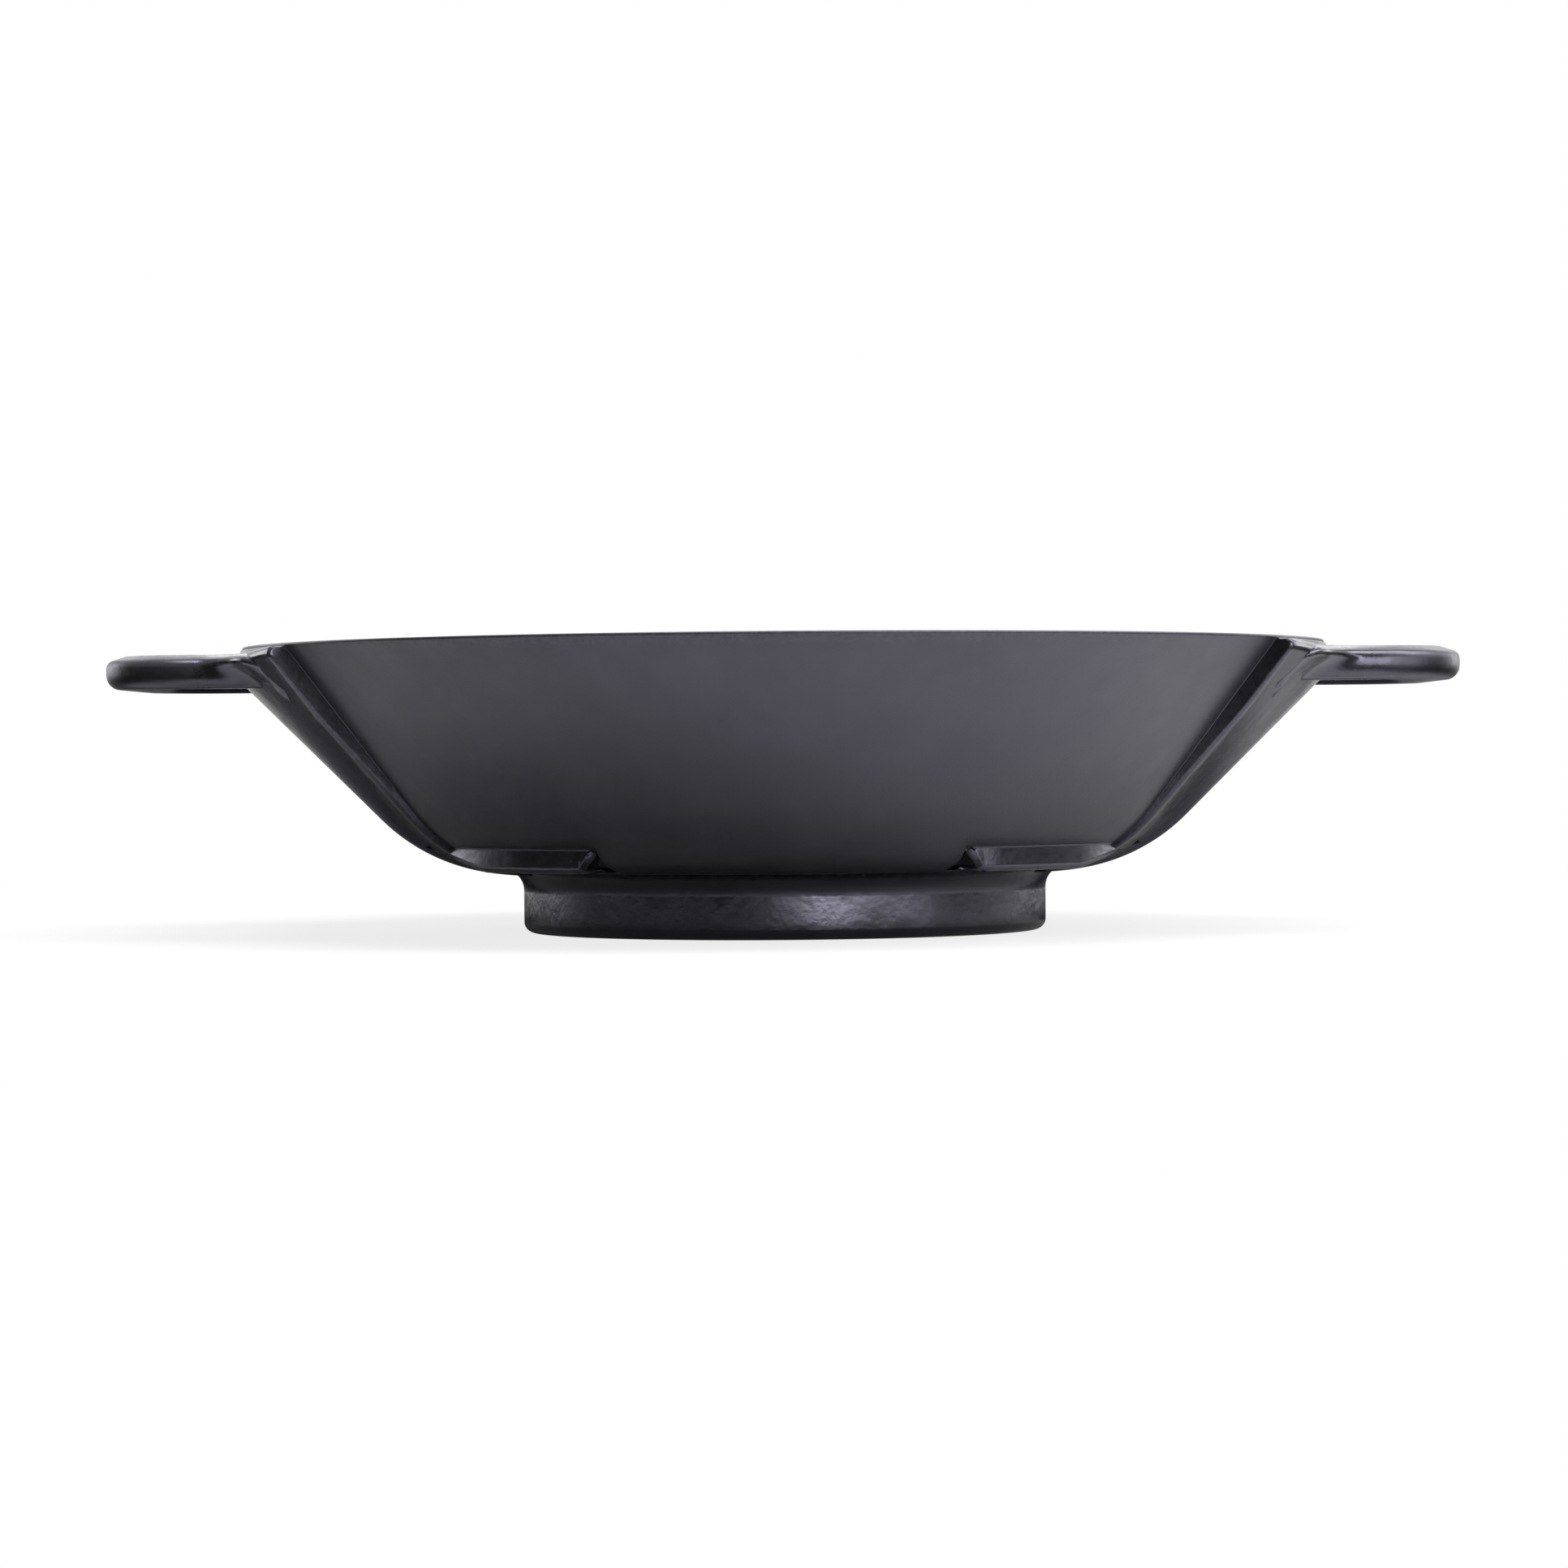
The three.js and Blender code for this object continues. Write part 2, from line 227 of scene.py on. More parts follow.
class Dish:
    """A flat underside, a round corner, and a straight flank along the corner's tangent."""

    def __init__(self, centre, corner, slope):
        self.centre = centre
        self.corner = corner
        self.slope = slope
        self.normal = Vector((math.sin(slope), -math.cos(slope)))
        self.corner_end = centre + self.normal * corner

    @classmethod
    def to_top(cls, flat_radius, flat_z, corner, top):
        """The flank leaves the corner and ends at a point."""
        centre = Vector((flat_radius, flat_z + corner))
        to_top = top - centre
        return cls(centre, corner, math.atan2(to_top.y, to_top.x) + math.asin(corner / to_top.length))

    def parallel(self, flat_z, corner, offset):
        """A dish whose flank runs beside this one's, offset outwards, with its own corner and underside."""
        z = flat_z + corner
        reach = self.normal.dot(self.centre) + self.corner + offset - corner
        x = (reach + z * math.cos(self.slope)) / math.sin(self.slope)
        return Dish(Vector((x, z)), corner, self.slope)

    def flank(self, z):
        """The point of the flank at a height."""
        return Vector((self.corner_end.x + (z - self.corner_end.y) / math.tan(self.slope), z))

    def at_radius(self, radius):
        """The point of the underside, corner or flank at a radius."""
        across = radius - self.centre.x
        if across <= 0:
            return Vector((radius, self.centre.y - self.corner))
        if across < self.corner * math.sin(self.slope):
            return Vector((radius, self.centre.y - math.sqrt(self.corner**2 - across**2)))
        return Vector((radius, self.corner_end.y + (radius - self.corner_end.x) * math.tan(self.slope)))

    def arc(self, start, end, steps):
        """Points round the corner."""
        return arc(self.centre, self.corner, start, end, steps)


class Outline:
    """The lines that the pieces share, worked out from the sizes."""

    def __init__(self):
        sizes = settings()
        self.rim = Vector((sizes.bowl.rim_diameter / 2, sizes.bowl.height))
        self.foot_radius = sizes.foot.diameter / 2
        self.flat = self.foot_radius + sizes.foot.margin
        self.floor_z = sizes.foot.height + sizes.bowl.floor_thickness
        self.handle_top = sizes.bowl.height - sizes.handle.drop
        self.handle_bottom = self.handle_top - sizes.handle.thickness
        self.outside = Dish.to_top(self.flat, sizes.foot.height, sizes.bowl.outer_corner, self.rim)
        self.inside = self.outside.parallel(self.floor_z, sizes.bowl.inner_corner, -sizes.bowl.wall)
        strap_top = Vector((self.outside.flank(self.handle_top).x + sizes.strap.ledge, self.handle_top))
        strap_z = sizes.foot.height - sizes.strap.base
        self.strap = Dish.to_top(self.flat, strap_z, sizes.strap.corner, strap_top)


# Meshes

def turned(bm, profile, steps):
    """Turns a profile about Z into a closed skin."""
    verts = [bm.verts.new((point.x, 0, point.y)) for point in profile]
    edges = [bm.edges.new(pair) for pair in zip(verts, verts[1:])]
    bmesh.ops.spin(
        bm, geom=verts + edges, cent=ORIGIN, axis=UP, angle=2 * math.pi, steps=steps, use_merge=True
    )
    bmesh.ops.remove_doubles(bm, verts=bm.verts, dist=WELD)
    bmesh.ops.dissolve_degenerate(bm, edges=bm.edges, dist=WELD / 10)
    bmesh.ops.recalc_face_normals(bm, faces=bm.faces)


def wrapped(bm, columns, rows, place):
    """A grid whose crossings go where place(column, row) says."""
    made = bmesh.ops.create_grid(bm, x_segments=columns, y_segments=rows, size=1)
    for vert in made["verts"]:
        column = round((vert.co.x + 1) / 2 * columns)
        row = round((vert.co.y + 1) / 2 * rows)
        vert.co = place(column, row)
    return made["verts"]


def sliced(bm, spot, normal):
    """Cuts away everything on the side of a plane that its normal points to, and closes the cut."""
    everything = bm.verts[:] + bm.edges[:] + bm.faces[:]
    cut = bmesh.ops.bisect_plane(
        bm, geom=everything, dist=WELD, plane_co=spot, plane_no=normal, clear_outer=True
    )
    edges = [part for part in cut["geom_cut"] if isinstance(part, bmesh.types.BMEdge)]
    bmesh.ops.edgeloop_fill(bm, edges=edges)


def boundary(verts):
    """Edges with one face among the verts."""
    chosen = set(verts)
    edges = {edge for vert in verts for edge in vert.link_edges}
    return [edge for edge in edges if edge.is_boundary and all(vert in chosen for vert in edge.verts)]


def mark_wear(mesh):
    """Keeps how sharply each point of the skin bends outwards, per millimetre, for rubbed edges."""
    bm = bmesh.new()
    bm.from_mesh(mesh)
    bm.normal_update()
    bends = []
    for vert in bm.verts:
        bend = 0
        for edge in vert.link_edges:
            other = edge.other_vert(vert)
            along = other.co - vert.co
            bend = max(bend, (other.normal - vert.normal).dot(along) / max(along.length_squared, WELD**2))
        bends.append(bend * MM)
    bm.free()
    wear = mesh.attributes.new("wear", "FLOAT", "POINT")
    wear.data.foreach_set("value", bends)


def placed(name, data):
    """An object in the scene for a mesh, a lamp or a camera."""
    obj = bpy.data.objects.new(name, data)
    bpy.context.scene.collection.objects.link(obj)
    return obj


def piece(name, bm, slot, material, *nodes):
    """Makes the finished skin an object that stands for CAD nodes."""
    if not all(edge.is_manifold for edge in bm.edges):
        raise RuntimeError(f"{name} isn't closed")
    bmesh.ops.recalc_face_normals(bm, faces=bm.faces)
    mesh = bpy.data.meshes.new(name)
    bm.to_mesh(mesh)
    bm.free()
    mesh.shade_smooth()
    mark_wear(mesh)
    mesh.materials.append(material)
    obj = placed(name, mesh)
    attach(obj, "root")
    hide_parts(*nodes)


def side_turn(side):
    """Turns a piece made at +X to its own side."""
    return Matrix.Rotation(0 if side == "right" else math.pi, 4, "Z")


# Materials

def opaque(shade):
    """A colour with full alpha."""
    return (*shade, 1)


class Nodes:
    """A node tree under construction."""

    def __init__(self, owner):
        self.owner = owner
        owner.use_nodes = True
        self.tree = owner.node_tree
        self.tree.nodes.clear()

    def new(self, kind, inputs, **options):
        """A node with its options set and each input either linked to a socket or given a value."""
        made = self.tree.nodes.new(kind)
        for key, value in options.items():
            setattr(made, key, value)
        for key, value in inputs.items():
            if isinstance(value, bpy.types.NodeSocket):
                self.tree.links.new(value, made.inputs[key])
            else:
                made.inputs[key].default_value = value
        return made

    def spread(self, value, low, high, to_low=0.0, to_high=1.0):
        """A smooth fade from to_low to to_high while the value goes from low to high."""
        inputs = {"Value": value, "From Min": low, "From Max": high, "To Min": to_low, "To Max": to_high}
        return self.new("ShaderNodeMapRange", inputs, interpolation_type="SMOOTHSTEP").outputs["Result"]

    def along(self, vector, direction):
        """How far a vector reaches in a direction."""
        inputs = {0: vector, 1: direction}
        return self.new("ShaderNodeVectorMath", inputs, operation="DOT_PRODUCT").outputs["Value"]

    def maths(self, operation, first, second):
        return self.new("ShaderNodeMath", {0: first, 1: second}, operation=operation).outputs["Value"]

    def mix(self, factor, first, second):
        inputs = {"Factor": factor, "A": first, "B": second}
        return self.new("ShaderNodeMix", inputs, data_type="RGBA").outputs["Result"]


class Iron(Nodes):
    """A seasoned iron surface: mottled colour, sand grain, small pits and rubbed edges."""

    def __init__(self, name):
        super().__init__(bpy.data.materials.get(name) or bpy.data.materials.new(name))
        self.place = self.new("ShaderNodeTexCoord", {}).outputs["Object"]

    def noise(self, scale, detail, roughness=0.5):
        inputs = {"Vector": self.place, "Scale": scale, "Detail": detail, "Roughness": roughness}
        return self.new("ShaderNodeTexNoise", inputs).outputs["Fac"]

    def cells(self, scale, smoothness):
        inputs = {"Vector": self.place, "Scale": scale, "Smoothness": smoothness}
        return self.new("ShaderNodeTexVoronoi", inputs, feature="SMOOTH_F1").outputs["Distance"]

    def wear(self, low, high):
        """The rubbed edges, from a slight bend of the skin to a sharp one."""
        made = self.new("ShaderNodeAttribute", {}, attribute_name="wear")
        return self.spread(made.outputs["Fac"], low, high)

    def bump(self, height, strength, distance, under=None):
        inputs = {"Height": height, "Strength": strength, "Distance": distance}
        if under is not None:
            inputs["Normal"] = under
        return self.new("ShaderNodeBump", inputs).outputs["Normal"]

    def finish(self, base, roughness, normal):
        """The finished material, with a strong and slightly blue sheen."""
        inputs = {"Base Color": base, "Roughness": roughness, "Normal": normal}
        inputs["Specular IOR Level"] = 1
        inputs["Specular Tint"] = opaque(settings().finish.sheen)
        shader = self.new("ShaderNodeBsdfPrincipled", inputs)
        self.new("ShaderNodeOutputMaterial", {"Surface": shader.outputs["BSDF"]})
        return self.owner


def smooth_iron():
    """The bowl: fine-grained, satin, faintly mottled."""
    finish = settings().finish
    iron = Iron("smooth_iron")
    mottle = iron.spread(iron.noise(scale=38, detail=5, roughness=0.6), low=0.3, high=0.7)
    edges = iron.wear(low=0.15, high=1.2)
    patches = iron.spread(iron.noise(scale=700, detail=3), low=0.3, high=0.7, to_high=0.4)
    base = iron.mix(mottle, opaque(finish.smooth_dark), opaque(finish.smooth_light))
    base = iron.mix(iron.maths("MULTIPLY", edges, patches), base, opaque(finish.worn))
    grain = iron.noise(scale=1500, detail=4, roughness=0.65)
    uneven = iron.maths("ADD", iron.noise(scale=90, detail=4), grain)
    roughness = iron.spread(uneven, low=0.6, high=1.4, to_low=0.32, to_high=0.42)
    normal = iron.bump(iron.noise(scale=160, detail=3), strength=0.10, distance=0.6 * MM)
    normal = iron.bump(grain, strength=0.22, distance=0.25 * MM, under=normal)
    return iron.finish(base, roughness, normal)


def sand_cast_iron():
    """Handles, straps, lugs and foot: rougher sand grain with small pits that catch the light."""
    finish = settings().finish
    iron = Iron("sand_cast_iron")
    mottle = iron.spread(iron.noise(scale=55, detail=6, roughness=0.65), low=0.3, high=0.7)
    edges = iron.wear(low=0.15, high=1.0)
    patches = iron.spread(iron.noise(scale=600, detail=4), low=0.35, high=0.65, to_high=0.6)
    base = iron.mix(mottle, opaque(finish.cast_dark), opaque(finish.cast_light))
    base = iron.mix(iron.maths("MULTIPLY", edges, patches), base, opaque(finish.worn))
    lumps = iron.noise(scale=120, detail=3)
    pebbles = iron.cells(scale=420, smoothness=0.6)
    grain = iron.noise(scale=700, detail=5, roughness=0.62)
    uneven = iron.maths("ADD", iron.noise(scale=140, detail=5), grain)
    roughness = iron.spread(uneven, low=0.6, high=1.4, to_low=0.16, to_high=0.28)
    aside = iron.maths("ABSOLUTE", iron.along(iron.place, RIGHT), 0)
    duller_handles = iron.spread(aside, low=0.18, high=0.2, to_high=0.16)
    roughness = iron.maths("ADD", roughness, duller_handles)
    normal = iron.bump(lumps, strength=0.16, distance=1.2 * MM)
    normal = iron.bump(pebbles, strength=0.06, distance=0.5 * MM, under=normal)
    normal = iron.bump(grain, strength=0.09, distance=0.5 * MM, under=normal)
    return iron.finish(base, roughness, normal)


# Operators

class WOK_OT_bowl(bpy.types.Operator):
    """The dished wall and floor, with a flat rim"""

    bl_idname = "wok.bowl"
    bl_label = "Bowl"

    corner_steps = 24
    outer_rim_steps = 8
    inner_rim_steps = 6
    first_row = 5 * MM
    row_gap = 4 * MM

    def flank_rows(self, dish):
        """Points down a flank, from under the rim to just above the corner."""
        rows = []
        z = settings().bowl.height - self.first_row
        while z > dish.corner_end.y + self.row_gap / 2:
            rows.append(dish.flank(z))
            z -= self.row_gap
        return rows

    def execute(self, context):
        sizes = settings()
        outline = Outline()
        edge = sizes.bowl.rim_edge
        slope = outline.outside.slope
        underside = sizes.foot.height
        half_flat = outline.flat / 2
        inner_rim = outline.inside.flank(sizes.bowl.height)
        acute = edge / math.tan(slope / 2)
        obtuse = edge * math.tan(slope / 2)
        outer_centre = Vector((outline.rim.x - acute, outline.rim.y - edge))
        inner_centre = Vector((inner_rim.x + obtuse, outline.rim.y - edge))
        profile = [Vector((0, underside)), Vector((half_flat, underside))]
        profile += outline.outside.arc(0, slope, self.corner_steps)
        profile += reversed(self.flank_rows(outline.outside))
        profile += arc(outer_centre, edge, slope, math.pi, self.outer_rim_steps)
        profile += arc(inner_centre, edge, math.pi, math.pi + slope, self.inner_rim_steps)
        profile += self.flank_rows(outline.inside)
        profile += outline.inside.arc(slope, 0, self.corner_steps)
        profile += [Vector((half_flat, outline.floor_z)), Vector((0, outline.floor_z))]
        bm = bmesh.new()
        turned(bm, profile, sizes.around)
        piece("wok_bowl", bm, "smooth_iron", smooth_iron(), "bowl")
        return {"FINISHED"}


class WOK_OT_foot_ring(bpy.types.Operator):
    """The ring that the wok stands on, open underneath"""

    bl_idname = "wok.foot_ring"
    bl_label = "Foot ring"

    round_steps = 8
    inner_edge_steps = 6
    side_rows = (0.35, 0.5, 0.65)
    lap = 1 * MM

    def execute(self, context):
        sizes = settings()
        foot = sizes.foot
        outer = Outline().foot_radius
        inner = outer - foot.wall
        top = foot.height
        sunk = top + SUNK
        lower_edge = Vector((outer - foot.edge, foot.edge))
        outer_fillet = Vector((outer + foot.fillet, top - foot.fillet))
        inner_fillet = Vector((inner - foot.inner_fillet, top - foot.inner_fillet))
        inner_edge = Vector((inner + foot.inner_edge, foot.inner_edge))
        profile = arc(lower_edge, foot.edge, 0, QUARTER, self.round_steps)
        profile += [Vector((outer, top * share)) for share in self.side_rows]
        profile += arc(outer_fillet, foot.fillet, -QUARTER, -math.pi, self.round_steps)
        profile.append(Vector((outer + foot.fillet + self.lap, sunk)))
        profile.append(Vector((inner - 2 * foot.inner_fillet, sunk)))
        profile += arc(inner_fillet, foot.inner_fillet, math.pi, QUARTER, self.round_steps)
        profile.append(Vector((inner, top / 2)))
        profile += arc(inner_edge, foot.inner_edge, -QUARTER, 0, self.inner_edge_steps)
        profile.append(profile[0])
        bm = bmesh.new()
        turned(bm, profile, sizes.around)
        piece("wok_foot_ring", bm, "sand_cast_iron", sand_cast_iron(), "foot_ring")
        return {"FINISHED"}


class StrapSkin:
    """The strap's face and the bowl's surface behind it, row by row from the rim down to the foot."""

    cove_steps = 6
    shoulder_steps = 4
    lip_steps = 10
    flank_steps = 34
    corner_steps = 24
    toe_steps = 3

    # The first row stands this far above the cove and inside the rim
    crest_rise = 0.3 * MM
    crest_depth = 0.7 * MM

    # Share of the height from the lip up to the crest at which the bowl's point behind the lip lies
    back_share = 0.6

    # The lip climbs over the last part of the way to each side, and this many rows carry it down the flank
    climb_start = 0.6
    climb_rows = 10

    # Below the rim, where the way into the bowl's wall begins to turn level, and how soon it is level
    level_below_rim = 25 * MM
    level_over = 15 * MM

    # Rounding and lean of the sides, as shares of the strap's thickness
    root_limit = 0.55
    edge_limit = 0.4
    side_lean = 0.08
    root_steps = 7
    side_steps = 3
    edge_steps = 6

    # How far the skirt along each side reaches out and down into the bowl
    skirt_reach = 1.0 * MM
    skirt_depth = 0.5 * MM

    def __init__(self):
        self.sizes = settings()
        self.outline = Outline()
        self.bowl = self.outline.outside
        self.crest = self.outline.handle_top + self.sizes.strap.rim_fillet + self.crest_rise
        self.make_face()
        self.make_back()

    def make_face(self):
        """The face's rows: cove, sloping shoulder, rounded lip, flank, corner and toe."""
        outline = self.outline
        strap = self.sizes.strap
        slope = outline.strap.slope
        fall = strap.shoulder
        edge = strap.top_edge
        cove = Vector((outline.rim.x + strap.rim_fillet, outline.handle_top + strap.rim_fillet))
        rows = [Vector((outline.rim.x - self.crest_depth, self.crest))]
        rows += arc(cove, strap.rim_fillet, -QUARTER, -fall, self.cove_steps)
        cove_end = rows[-1]
        drop = outline.strap.flank(cove_end.y).x - cove_end.x
        drop /= 1 / math.tan(fall) + 1 / math.tan(slope)
        corner = outline.strap.flank(cove_end.y - drop)
        before_corner = edge * math.tan((math.pi - slope - fall) / 2)
        shoulder_end = corner + (cove_end - corner).normalized() * before_corner
        rounding = shoulder_end - Vector((math.sin(fall), math.cos(fall))) * edge
        for step in range(1, self.shoulder_steps):
            rows.append(cove_end.lerp(shoulder_end, step / self.shoulder_steps))
        before_lip = len(rows)
        rows += arc(rounding, edge, math.pi - fall, slope, self.lip_steps)
        lip_end = rows[-1]
        self.climbing = [min(row / before_lip, 1) for row in range(len(rows))]
        for step in range(1, self.flank_steps):
            rows.append(lip_end.lerp(outline.strap.corner_end, step / self.flank_steps))
        rows += outline.strap.arc(slope, 0, self.corner_steps)
        underside = rows[-1]
        toe = Vector((outline.foot_radius - SUNK, outline.strap.centre.y - strap.corner))
        for step in range(1, self.toe_steps + 1):
            rows.append(underside.lerp(toe, step / self.toe_steps))
        self.face = rows
        self.lip = len(self.climbing) - 1
        self.climbing += [max(1 - step / self.climb_rows, 0) for step in range(len(rows) - self.lip - 1)]

    def make_back(self):
        """The bowl's points behind the face's rows."""
        lip_z = self.face[self.lip].y
        lip_z += self.back_share * (self.crest - lip_z)
        rows = []
        for step in range(self.lip + 1):
            rows.append(self.bowl.flank(self.crest + (lip_z - self.crest) * step / self.lip))
        for step in range(1, self.flank_steps):
            rows.append(self.bowl.flank(lip_z + (self.bowl.corner_end.y - lip_z) * step / self.flank_steps))
        rows += self.bowl.arc(self.bowl.slope, 0, self.corner_steps)
        rows += [Vector((point.x, self.sizes.foot.height)) for point in self.face[-self.toe_steps:]]
        self.back = rows

    def raised(self, row, share):
        """A row's point on the face: the lip climbs beside the handle towards the strap's sides."""
        climb = self.sizes.strap.climb * clamped((abs(share) - self.climb_start) / (1 - self.climb_start))
        return self.face[row] + Vector((0, climb * self.climbing[row]))

    def sunk(self, row, depth):
        """A point inside the bowl's wall behind a row."""
        point = self.back[row]
        out = point - self.bowl.centre
        turn = clamped(math.atan2(out.x, -out.y), 0, self.bowl.slope)
        level = clamped((point.y - self.sizes.bowl.height + self.level_below_rim) / self.level_over)
        inwards = Vector((-math.sin(turn), math.cos(turn))).lerp(Vector((-1, 0)), level)
        return point + inwards.normalized() * depth

    def on_ray(self, point, share, inset):
        """A profile point on a line down the strap, from -1 at one side to 1, moved in by the inset."""
        turn = share * self.sizes.strap.half_angle
        along = Vector((math.cos(turn), math.sin(turn)))
        out = Vector((-along.y, along.x)) * math.copysign(1, share)
        start = Vector((self.sizes.strap.apex, 0)) - out * inset
        ahead = start.dot(along)
        spot = start + along * (math.sqrt(ahead**2 - start.length_squared + point.x**2) - ahead)
        return Vector((spot.x, spot.y, point.y))

    def side_section(self, thickness):
        """Inset and height across one side of the strap: sunk skirt, fillet, wall, rounded edge."""
        root = min(self.sizes.strap.root, self.root_limit * thickness)
        edge = min(self.sizes.strap.edge, self.edge_limit * thickness)
        lean = self.side_lean * thickness
        section = [(-root - self.skirt_reach, -self.skirt_depth)]
        for step in range(self.root_steps + 1):
            turn = QUARTER * step / self.root_steps
            section.append((-root * (1 - math.sin(turn)), root * (1 - math.cos(turn))))
        for step in range(1, self.side_steps):
            share = step / self.side_steps
            section.append((lean * share, root + (thickness - edge - root) * share))
        for step in range(self.edge_steps + 1):
            turn = QUARTER * step / self.edge_steps
            section.append((lean + edge * (1 - math.cos(turn)), thickness - edge + edge * math.sin(turn)))
        return section


class WOK_OT_straps(bpy.types.Operator):
    """A band over the flank under each handle, thinning towards the foot"""

    bl_idname = "wok.straps"
    bl_label = "Straps"

    middle = 48
    rear_depth = 1.4 * MM

    def execute(self, context):
        skin = StrapSkin()
        iron = sand_cast_iron()
        sections = []
        for row, back in enumerate(skin.back):
            sections.append(skin.side_section((skin.raised(row, 1) - back).length))
        across = len(sections[0])
        columns = 2 * across + self.middle - 1
        rows = len(skin.face) - 1
        for side in SIDES:
            turn = side_turn(side)

            def place(column, row, depth=0):
                share = clamped(2 * (column - across + 1) / (self.middle + 1) - 1, -1, 1)
                face = skin.raised(row, share)
                back = skin.back[row]
                thickness = (face - back).length
                if column < across:
                    inset, height = sections[row][column]
                elif column > columns - across:
                    inset, height = sections[row][columns - column]
                else:
                    inset = sections[row][-1][0] * abs(share)
                    height = thickness
                if depth or height < 0:
                    spot = skin.sunk(row, depth or -height)
                else:
                    spot = back.lerp(face, height / thickness)
                return turn @ skin.on_ray(spot, share, inset)

            bm = bmesh.new()
            front = wrapped(bm, columns, rows, place)
            rear = wrapped(bm, columns, rows, lambda column, row: place(column, row, self.rear_depth))
            bmesh.ops.bridge_loops(bm, edges=boundary(front) + boundary(rear))
            piece(f"wok_{side}_strap", bm, "sand_cast_iron", iron, f"{side}_strap")
        return {"FINISHED"}


class WOK_OT_lugs(bpy.types.Operator):
    """Flat-bottomed pads with sloping ends, at both sides of each strap's lower end"""

    bl_idname = "wok.lugs"
    bl_label = "Lugs"

    # A pad is swept from under the strap to past its end, in radians, and then cut
    start = math.radians(22)
    past_end = 0.05
    sweep_steps = 36

    # Places along the section, in from the upper edge: lower face, and skin sunk into the bowl
    inner_edge = 24 * MM
    lower_rows = (inner_edge, 10 * MM)
    sunk_rows = (-2 * MM, 6 * MM, 14 * MM, inner_edge)
    inwards = Vector((-0.6, 0.8))

    # Edges that bend more than this are rounded, apart from those hidden at the inner edge
    sharp_angle = 0.6
    hidden = 1 * MM
    fillet_steps = 6
    edge_steps = 4

    def execute(self, context):
        sizes = settings()
        lug = sizes.lug
        outline = Outline()
        bowl = outline.outside
        iron = sand_cast_iron()
        foot = outline.flat + lug.reach
        radius = foot - lug.draft
        bottom = sizes.foot.height + lug.lift
        top = bowl.at_radius(radius)
        lean = math.atan2(radius - bowl.centre.x, bowl.centre.y - top.y)
        fillet_centre = Vector((radius + lug.fillet, top.y - lug.fillet * math.tan((QUARTER - lean) / 2)))
        section = [Vector((radius - row, bottom)) for row in self.lower_rows]
        section.append(Vector((foot, bottom)))
        section += arc(fillet_centre, lug.fillet, -QUARTER, -math.pi + lean, self.fillet_steps)
        section += [bowl.at_radius(radius - row) + self.inwards * SUNK for row in self.sunk_rows]
        end = lug.end_angle
        sweep = end + self.past_end - self.start
        end_spot = Vector((radius * math.cos(end), radius * math.sin(end), top.y))
        end_normal = Vector((0, math.cos(lug.bevel), -math.sin(lug.bevel)))
        end_normal.rotate(Matrix.Rotation(end, 3, "Z"))
        rise_spot = Vector((sizes.strap.apex, 0, bottom + lug.rise))
        rise_normal = Vector((0, -lug.rise, -lug.runout)).normalized()
        rise_normal.rotate(Matrix.Rotation(sizes.strap.half_angle, 3, "Z"))
        seen_from = radius - self.inner_edge + self.hidden
        for side in SIDES:
            for place, hand in (("front", -1), ("rear", 1)):
                bm = bmesh.new()
                verts = [bm.verts.new((point.x, 0, point.y)) for point in section]
                bmesh.ops.rotate(bm, cent=ORIGIN, matrix=Matrix.Rotation(self.start, 3, "Z"), verts=verts)
                face = bm.faces.new(verts)
                bmesh.ops.spin(bm, geom=[face], cent=ORIGIN, axis=UP, angle=sweep, steps=self.sweep_steps)
                sliced(bm, end_spot, end_normal)
                sliced(bm, rise_spot, rise_normal)
                bmesh.ops.recalc_face_normals(bm, faces=bm.faces)
                sharp = []
                for edge in bm.edges:
                    seen = min(vert.co.xy.length for vert in edge.verts) > seen_from
                    if seen and edge.is_manifold and edge.calc_face_angle_signed(0) > self.sharp_angle:
                        sharp.append(edge)
                bmesh.ops.bevel(
                    bm, geom=sharp, offset=lug.edge, affect="EDGES", segments=self.edge_steps, profile=0.5,
                    material=-1
                )
                if hand == (-1 if side == "right" else 1):
                    bmesh.ops.scale(bm, vec=(1, -1, 1), verts=bm.verts)
                bmesh.ops.transform(bm, matrix=side_turn(side), verts=bm.verts)
                bmesh.ops.remove_doubles(bm, verts=bm.verts, dist=WELD)
                name = f"{side}_{place}_lug"
                piece(f"wok_{name}", bm, "sand_cast_iron", iron, name)
        return {"FINISHED"}


